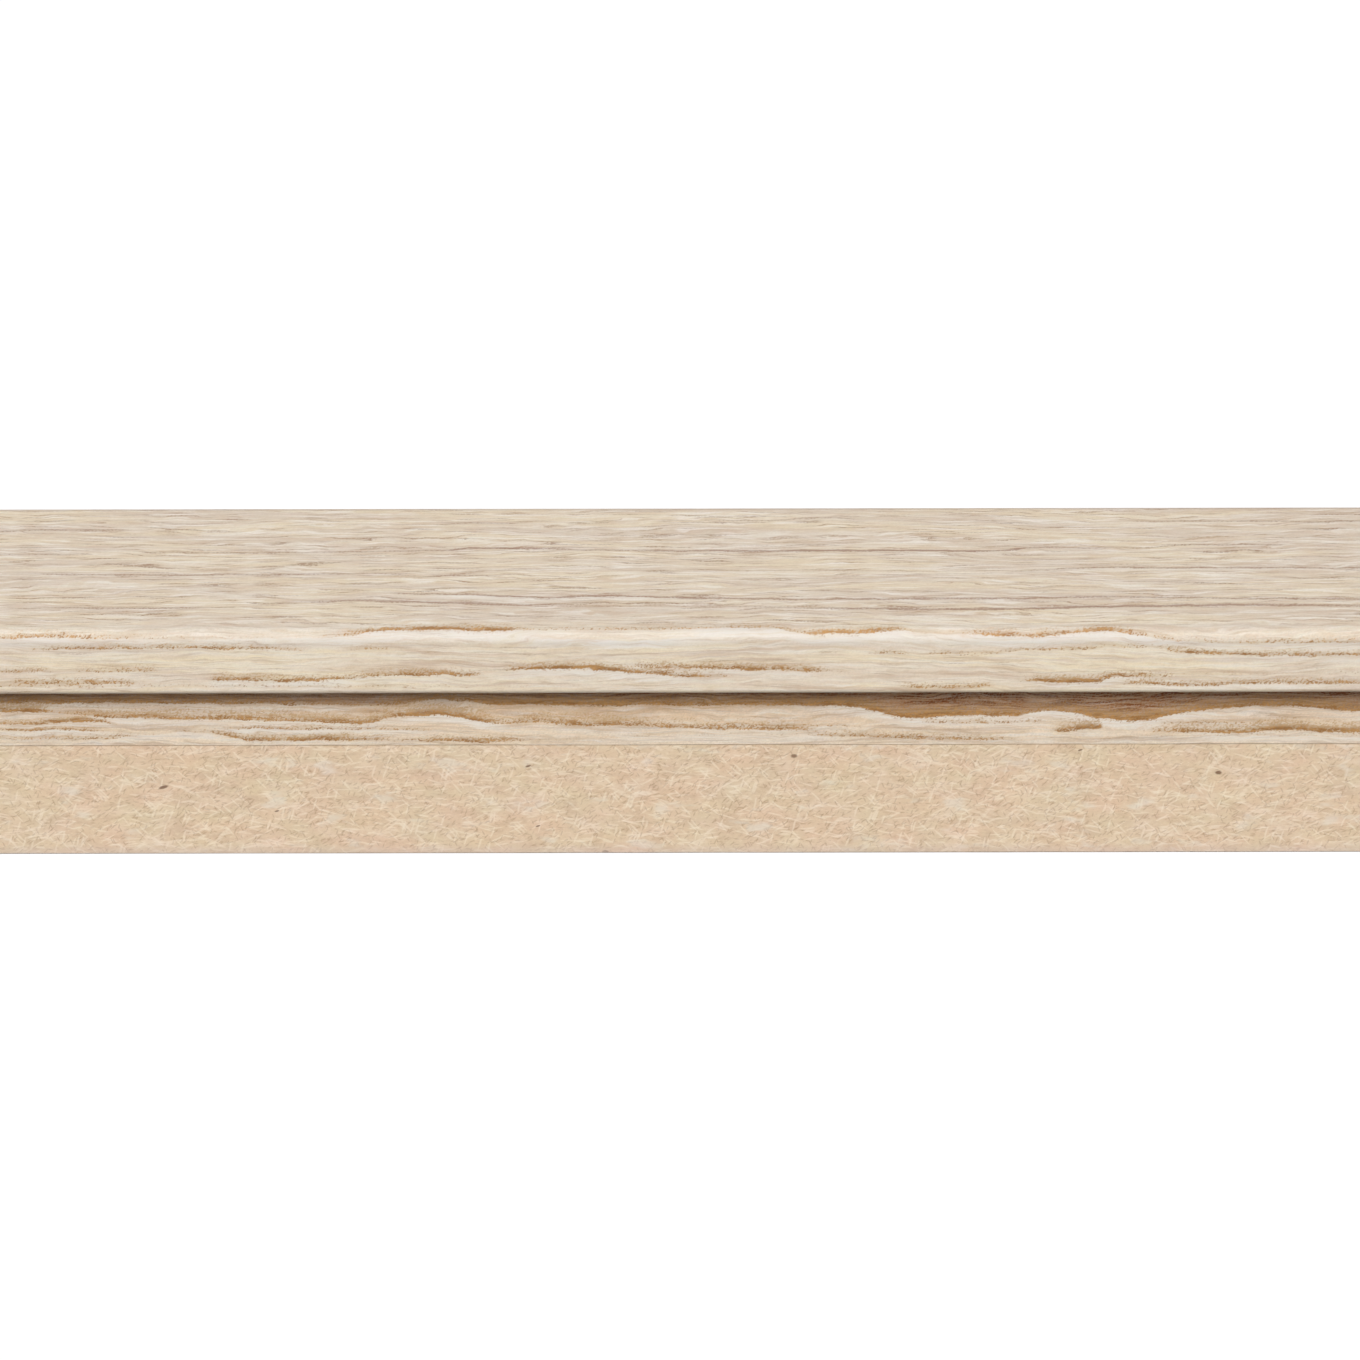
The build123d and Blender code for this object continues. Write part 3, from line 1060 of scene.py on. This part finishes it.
def raw_mdf(name, contrast, edge_shadow):
    """Felted wood fibres: fine flecks and short pale strands in a matte tan mass.

    A painted shadow darkens a hair's width of the wall just under the foil's cut edge.
    """
    graph = Graph(bpy.data.materials.new(name))
    sheet = graph.sheet()
    bend = graph.noise(graph.scaled(sheet, 3.6, 3.0, (5.0, 5.0)), output="Color")
    bend = graph.vector("SUBTRACT", bend, (0.5, 0.5, 0.5))
    bent = graph.vector("MULTIPLY_ADD", bend, (0.45, 0.45, 0.0), sheet)
    cloud = graph.noise(graph.scaled(sheet, 6.0, 3.4, (9.0, 1.0)), 3.0, 0.6)
    tuft = graph.noise(graph.scaled(sheet, 2.8, 1.2, (4.0, 2.0)), 4.0, 0.65)
    fleck = graph.noise(graph.scaled(sheet, 0.5, 0.24, (2.0, 2.0)), 3.0, 0.75)
    blot = graph.noise(graph.scaled(sheet, 4.6, 2.0, (8.0, 6.0)), 3.0, 0.6)
    tints = graph.noise(graph.scaled(sheet, 3.4, 2.2, (1.0, 8.0)), output="Color")
    graph.colour = graph.blend(graph.span(cloud, 0.34, 0.64), rgb(223, 201, 171), rgb(224, 197, 168))
    graph.paint(rgb(205, 178, 150), graph.span(tuft, 0.5, 0.32, 0.0, 0.46 * contrast))
    graph.paint(rgb(235, 214, 190), graph.span(tuft, 0.52, 0.68, 0.0, 0.46 * contrast))
    graph.paint(rgb(190, 160, 132), graph.span(fleck, 0.44, 0.26, 0.0, 0.58 * contrast))
    graph.paint(rgb(240, 221, 196), graph.span(fleck, 0.56, 0.76, 0.0, 0.62 * contrast))
    height = graph.product(fleck, 0.8)
    for index, angle in enumerate(FIBRE_TURNS):
        size = (2.1 - 0.14 * index, 0.19 + 0.012 * index)
        pale = strokes(graph, bent, size, angle, (3.7 * index, 1.9 * index), 0.09)
        graph.paint(rgb(244, 228, 206), pale, 0.44 * contrast)
        dark = strokes(graph, sheet, (0.7, 0.16), angle + 40.0, (1.3 * index, 2.9 * index), 0.06)
        graph.paint(rgb(172, 140, 112), dark, 0.36 * contrast)
        height = graph.sum(pale, 0.35, height)
    for index, angle in enumerate(BUNDLE_TURNS):
        bundle = strokes(graph, bent, (4.2, 0.5), angle, (5.0 + 7.0 * index, 9.0), 0.07)
        graph.paint(rgb(240, 222, 199), bundle, graph.span(fleck, 0.34, 0.58, 0.1, 0.5 * contrast))
    graph.paint(rgb(230, 219, 203), graph.span(blot, 0.6, 0.74, 0.0, 0.5 * contrast))
    x, _, z = graph.parts(graph.node("TexCoord").outputs["Object"])
    distance, chance = graph.cells(graph.scaled(sheet, 17.0, 11.0, (7.0, 3.0)))
    speck = graph.product(graph.span(distance, 0.022, 0.01), graph.span(chance, 0.5, 0.6))
    graph.paint(rgb(112, 80, 58), graph.math("MAXIMUM", speck, seen_specks(graph, x, z)), 0.8)
    # Painted shadow under the foil's cut edge
    shadow_low, shadow_high = [FOIL_EDGE_Z - below for below in EDGE_SHADOW_BAND]
    graph.paint(rgb(172, 146, 118), graph.span(z, shadow_low, shadow_high), edge_shadow)
    # Greyer and pinker towards the back face
    graph.paint(rgb(212, 192, 178), graph.span(z, *BACK_EDGE_TINT), 0.5)
    paint_tints(graph, tints, spread=0.07)
    return graph.surface(height, BOARD_RELIEF, graph.span(fleck, 0.3, 0.7, 0.9, 0.78), specular=0.2)


# Scene


def add_lamp(name, elevation, azimuth, half_spread, strength):
    light = bpy.data.lights.new(name, "SUN")
    light.energy = strength
    light.angle = math.radians(2 * half_spread)
    up = math.radians(elevation)
    turn = math.radians(azimuth)
    towards = Vector((math.sin(turn) * math.cos(up), -math.cos(turn) * math.cos(up), math.sin(up)))
    holder = new_object(name, light)
    holder.rotation_euler = towards.to_track_quat("Z", "Y").to_euler()
    holder.location = towards * LAMP_DISTANCE


def add_sky():
    """Dim and even for the object, pale grey for the camera and in reflections."""
    world = bpy.data.worlds.new("studio")
    bpy.context.scene.world = world
    graph = Graph(world)
    strength = graph.span(graph.to_viewer(), 0.0, 1.0, SKY_STRENGTH, 1.0, steps="LINEAR")
    graph.end(graph.node("Background", (SKY_GREY, SKY_GREY, SKY_GREY, 1.0), strength), "OutputWorld")


def add_floor():
    """Grey to the light that it returns, white to the camera, with the object's shadow kept."""
    mesh = bpy.data.meshes.new("floor")
    corners = [(FLOOR_REACH * x, FLOOR_REACH * y, 0.0) for x, y in ((-1, -1), (1, -1), (1, 1), (-1, 1))]
    mesh.from_pydata(corners, [], [(0, 1, 2, 3)])
    graph = Graph(bpy.data.materials.new("floor"))
    diffuse = graph.node("BsdfDiffuse", (FLOOR_GREY, FLOOR_GREY, FLOOR_GREY, 1.0))
    glow = graph.node("Emission", (1.0, 1.0, 1.0, 1.0), graph.product(graph.to_viewer(), FLOOR_WHITE))
    graph.end(graph.node("AddShader", diffuse.outputs[0], glow.outputs[0]))
    mesh.materials.append(graph.owner)
    floor = new_object("floor", mesh)


def add_camera():
    data = bpy.data.cameras.new("camera")
    data.lens = CAMERA_LENS
    data.sensor_width = SENSOR_WIDTH
    data.clip_start = CLIP_START
    data.clip_end = CLIP_END
    camera = new_object("camera", data)
    up = math.radians(CAMERA_ELEVATION)
    target = Vector((0.0, NOSING_SIDE_Y, VIEW_CENTRE_Z))
    camera.location = target + CAMERA_DISTANCE * Vector((0.0, -math.cos(up), math.sin(up)))
    tilt = Euler((math.radians(90.0 - CAMERA_ELEVATION), 0.0, 0.0)).to_matrix()
    roll = Euler((0.0, 0.0, math.radians(-CAMERA_ROLL))).to_matrix()
    camera.rotation_euler = (tilt @ roll).to_euler()
    bpy.context.scene.camera = camera


add_camera()
for lamp_name, lamp in LAMPS.items():
    add_lamp(lamp_name, *lamp)
add_sky()
add_floor()

foil = foil_wrap()
foil.data.materials.append(oak_decor_foil())
foil.data.materials.append(foil_cut())
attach(foil, "root")
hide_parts("decor_foil")

board = fibreboard_core()
board.data.materials.append(raw_mdf("raw_mdf", contrast=1.0, edge_shadow=0.5))
board.data.materials.append(raw_mdf("raw_mdf_sawn", contrast=0.8, edge_shadow=0.0))
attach(board, "root")
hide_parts("mdf_core")

bpy.context.scene.view_settings.view_transform = "Standard"
